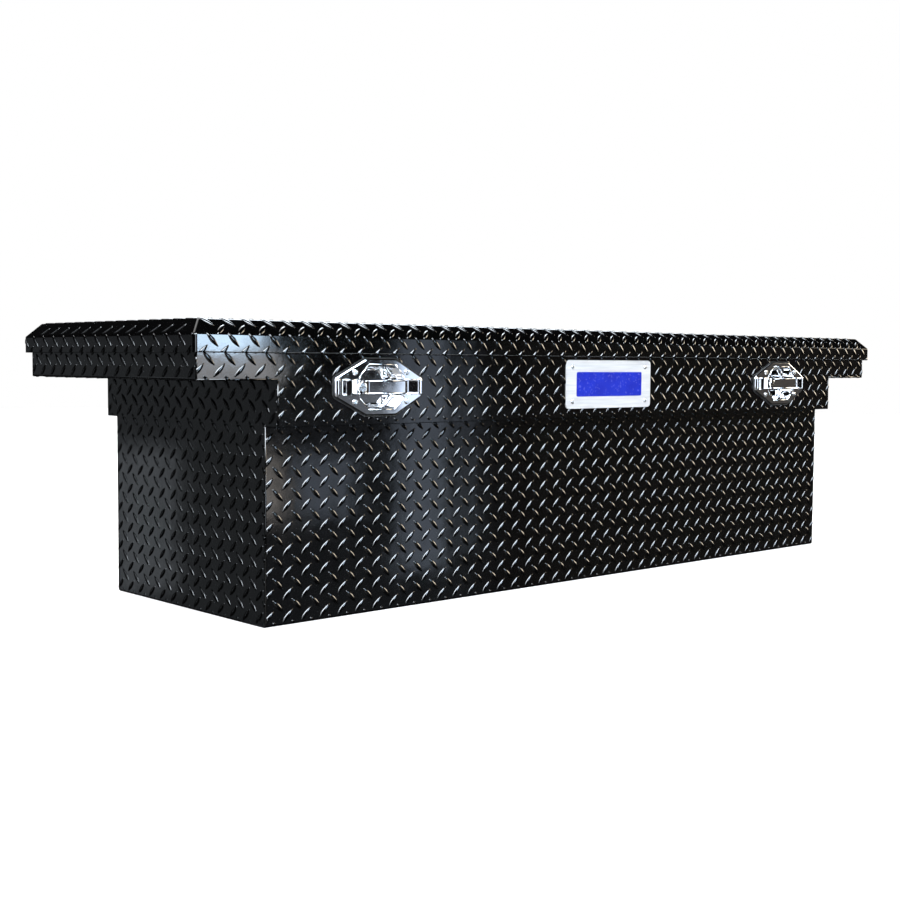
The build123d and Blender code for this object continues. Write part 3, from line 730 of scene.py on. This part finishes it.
class Studio:
    """The world: white to the camera, an even fill for matt light, and soft boxes in reflections."""

    def __init__(self):
        world = bpy.data.worlds.new("studio")
        bpy.context.scene.world = world
        world.use_nodes = True
        self.nodes, self.links = world.node_tree.nodes, world.node_tree.links
        self.nodes.clear()
        self.direction = self.nodes.new("ShaderNodeTexCoord").outputs["Generated"]
        split = self.nodes.new("ShaderNodeSeparateXYZ")
        self.links.new(self.direction, split.inputs["Vector"])
        back = self.math("MULTIPLY", split.outputs["Y"], -1.0)
        self.azimuth = self.math("ARCTAN2", split.outputs["X"], back)
        self.elevation = self.math("ARCSINE", split.outputs["Z"])
        self.total = None

    def math(self, operation, a, b=None):
        node = self.nodes.new("ShaderNodeMath")
        node.operation = operation
        for socket, value in zip(node.inputs, (a, b)):
            if isinstance(value, (int, float)):
                socket.default_value = value
            elif value is not None:
                self.links.new(value, socket)
        return node.outputs["Value"]

    def ramp(self, value, low, high, start=0.0, end=1.0):
        node = self.nodes.new("ShaderNodeMapRange")
        node.interpolation_type = "SMOOTHSTEP"
        for socket, number in zip(("From Min", "From Max", "To Min", "To Max"), (low, high, start, end)):
            node.inputs[socket].default_value = number
        self.links.new(value, node.inputs["Value"])
        return node.outputs["Result"]

    def window(self, value, low, high, feather):
        low, high, feather = math.radians(low), math.radians(high), math.radians(feather)
        rise = self.ramp(value, low - feather, low + feather)
        fall = self.ramp(value, high - feather, high + feather, 1.0, 0.0)
        return self.math("MULTIPLY", rise, fall)

    def add(self, mask, colour, strength):
        scale = self.nodes.new("ShaderNodeVectorMath")
        scale.operation = "SCALE"
        scale.inputs[0].default_value = [c * strength for c in colour]
        self.links.new(mask, scale.inputs["Scale"])
        if self.total is None:
            self.total = scale.outputs["Vector"]
            return
        join = self.nodes.new("ShaderNodeVectorMath")
        join.operation = "ADD"
        self.links.new(self.total, join.inputs[0])
        self.links.new(scale.outputs["Vector"], join.inputs[1])
        self.total = join.outputs["Vector"]

    def box(self, azimuths, elevations, feathers, colour, strength):
        """A soft box between azimuths (from -Y towards +X) and elevations, in degrees."""
        across = self.window(self.azimuth, *azimuths, feathers[0])
        up = self.window(self.elevation, *elevations, feathers[1])
        self.add(self.math("MULTIPLY", across, up), colour, strength)

    def disc(self, towards, radius, feather, colour, strength):
        node = self.nodes.new("ShaderNodeVectorMath")
        node.operation = "DOT_PRODUCT"
        node.inputs[1].default_value = Vector(towards).normalized()
        self.links.new(self.direction, node.inputs[0])
        wide, narrow = (math.cos(math.radians(radius + f)) for f in (feather, -feather))
        self.add(self.ramp(node.outputs["Value"], wide, narrow), colour, strength)

    def background(self, colour, strength):
        node = self.nodes.new("ShaderNodeBackground")
        node.inputs["Strength"].default_value = strength
        if isinstance(colour, tuple):
            node.inputs["Color"].default_value = (*colour, 1)
        else:
            self.links.new(colour, node.inputs["Color"])
        return node.outputs["Background"]

    def finish(self):
        rays = self.nodes.new("ShaderNodeLightPath")
        inner = self.nodes.new("ShaderNodeMixShader")
        outer = self.nodes.new("ShaderNodeMixShader")
        out = self.nodes.new("ShaderNodeOutputWorld")
        self.links.new(rays.outputs["Is Glossy Ray"], inner.inputs["Fac"])
        self.links.new(self.background((0.94, 0.97, 1.0), 0.5), inner.inputs[1])
        self.links.new(self.background(self.total, 1.0), inner.inputs[2])
        self.links.new(rays.outputs["Is Camera Ray"], outer.inputs["Fac"])
        self.links.new(inner.outputs["Shader"], outer.inputs[1])
        self.links.new(self.background((1.0, 1.0, 1.0), 1.0), outer.inputs[2])
        self.links.new(outer.outputs["Shader"], out.inputs["Surface"])


COOL, BLUE, WARM, NEUTRAL = (0.84, 0.92, 1.0), (0.60, 0.79, 1.0), (1.0, 0.87, 0.68), (1.0, 1.0, 1.0)
DUSK, CREAM, ROSE = (0.75, 0.88, 1.1), (1.0, 0.93, 0.86), (1.0, 0.88, 0.78)
SKY, HAZE, SLATE = (0.95, 0.97, 1.0), (0.96, 0.97, 1.0), (0.85, 0.93, 1.05)


def make_world():
    """Soft boxes, each as azimuths, elevations, feathers, colour and strength."""
    studio = Studio()
    studio.box((-200, 200), (-95, 95), (5, 5), SKY, 0.012)
    studio.box((44, 70), (-12, 14), (3, 4), ROSE, 0.06)
    # what the flat sheet of the latch side mirrors: a blue panel for the lip, a pale line under it,
    # two low patches near the corner and two tall strips
    studio.box((28, 34.6), (0.45, 13), (0.9, 0.12), BLUE, 24.0)
    studio.box((29, 35.3), (-1.1, 0.42), (0.2, 0.08), HAZE, 4.4)
    studio.box((33.4, 35.4), (-6.6, -4.0), (0.4, 0.4), CREAM, 2.4)
    studio.box((36.0, 38.4), (-6.5, -4.0), (0.25, 0.3), DUSK, 1.1)
    studio.box((32, 44), (-12, -1.0), (1.5, 0.6), SLATE, 0.12)
    studio.box((40.4, 42.4), (-8.8, 3.0), (0.25, 0.25), DUSK, 1.3)
    studio.box((43.0, 43.5), (-8.0, 3.0), (0.12, 0.25), DUSK, 0.7)
    # what the raised bars and the chrome pick up: a high key, a low fill, and a warm side
    studio.box((-62, 28), (26, 55), (6, 4), COOL, 30.0)
    studio.box((-30, -4), (-8, 13), (3, 3), COOL, 5.0)
    studio.box((62, 92), (4, 17), (4, 3), WARM, 11.0)
    studio.box((92, 128), (4, 17), (4, 3), WARM, 2.0)
    studio.box((-70, 0), (-50, -20), (8, 8), NEUTRAL, 0.7)
    # what the ends and the back mirror
    studio.box((-156, -140), (-12, 2), (2, 2), COOL, 0.16)
    studio.box((-151.6, -149.0), (-9.5, -3.6), (0.6, 0.6), COOL, 0.5)
    studio.box((-125, -80), (18, 50), (6, 6), COOL, 2.2)
    studio.box((112, 152), (26, 58), (6, 5), COOL, 12.0)
    studio.box((112, 160), (-46, -18), (10, 6), COOL, 0.22)
    studio.disc((0.25, 0.62, 0.85), 17, 5, NEUTRAL, 4.0)
    studio.finish()


def make_lights():
    """Soft light for the matt surfaces; the mirrored soft boxes are the world's."""
    area_light("front_light", (-0.8, -2.8, 2.0), (2.4, 1.6), 70, COOL)
    area_light("top_light", (0, 0, 3.2), (3.4, 3.4), 70, NEUTRAL)
    area_light("back_light", (0.5, 3.0, 2.0), (2.4, 1.6), 50, NEUTRAL)


def main():
    scene = bpy.context.scene
    scene.view_settings.view_transform = "Standard"
    scene.view_settings.look = "None"
    make_camera()
    dress_frame()
    dress_walls()
    dress_ends()
    lid_skin()
    dress_lid()
    dress_lid_ends()
    dress_seams()
    dress_latches()
    make_stage()
    make_world()
    make_lights()


main()
